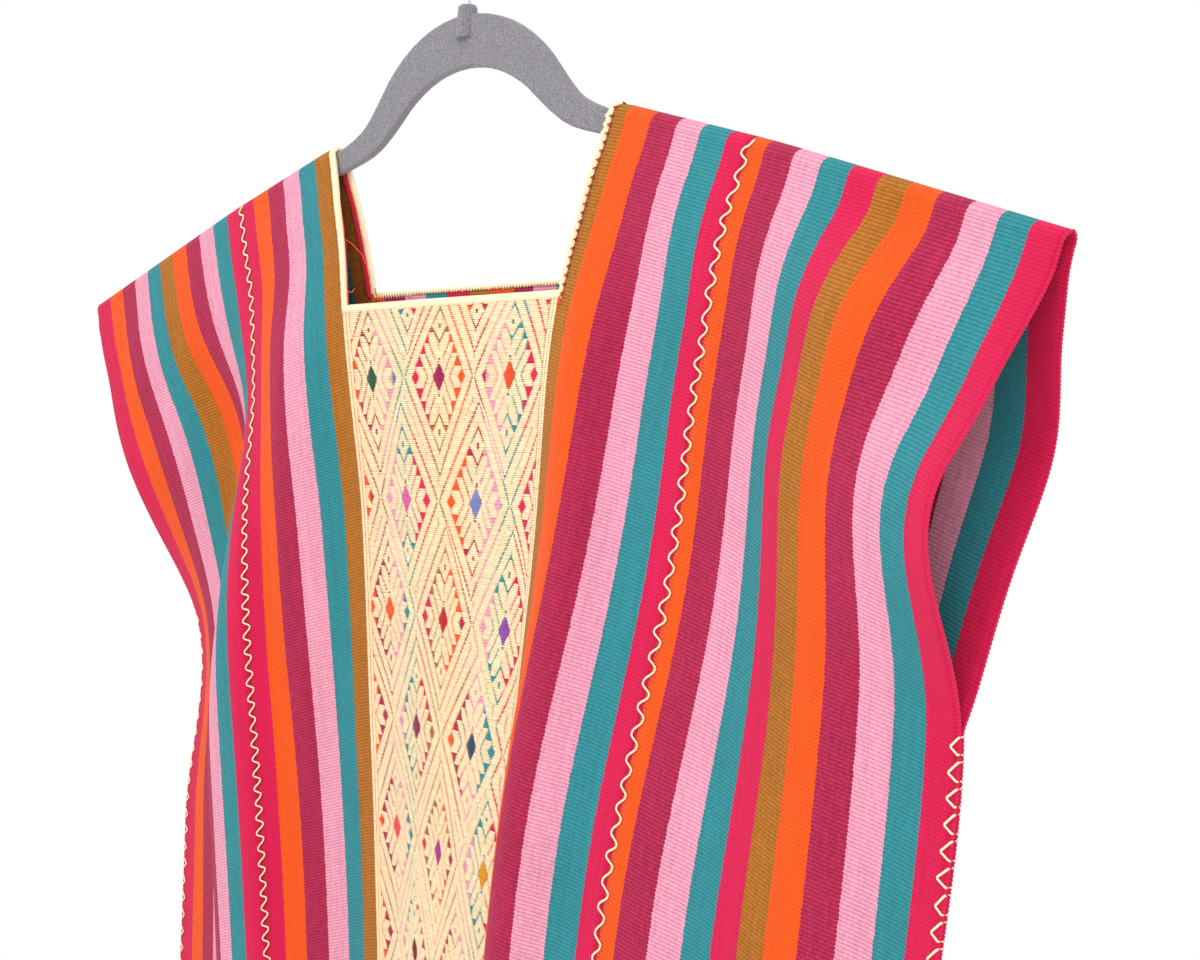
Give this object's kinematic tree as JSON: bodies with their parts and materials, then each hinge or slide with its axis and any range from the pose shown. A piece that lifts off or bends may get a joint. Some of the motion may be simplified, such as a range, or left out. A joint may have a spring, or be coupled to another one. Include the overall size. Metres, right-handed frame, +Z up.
{
  "type": "huipil blouse on a hanger",
  "caption": "Loose sleeveless blouse of three hand-woven striped panels with a square neck and a brocaded front, hanging from a flocked flat hanger with a wire hook",
  "frame": {"origin": "the inside top of the hanger's hook, where a rail carries it", "axes": "+Z is up, from hem to hook; the blouse faces -Y, with its back towards +Y; +X runs along the hanger to the blouse's right side as seen from the front"},
  "size_m": [0.6808, 0.1272, 0.8424],
  "materials": {
    "striped_cotton": "matt warp-faced cotton in coloured stripes, cream brocade on the front",
    "cream_cotton": "matt twisted cotton yarn",
    "grey_flock": "plastic covered with short grey flock",
    "hook_wire": "plated steel wire"
  },
  "bodies": {
    "root": {"centre_panel": "striped_cotton", "side_panel_left": "striped_cotton", "side_panel_right": "striped_cotton", "neck_edging": "cream_cotton", "hanger": "grey_flock", "hanger_hook": "hook_wire"}
  },
  "joints": []
}
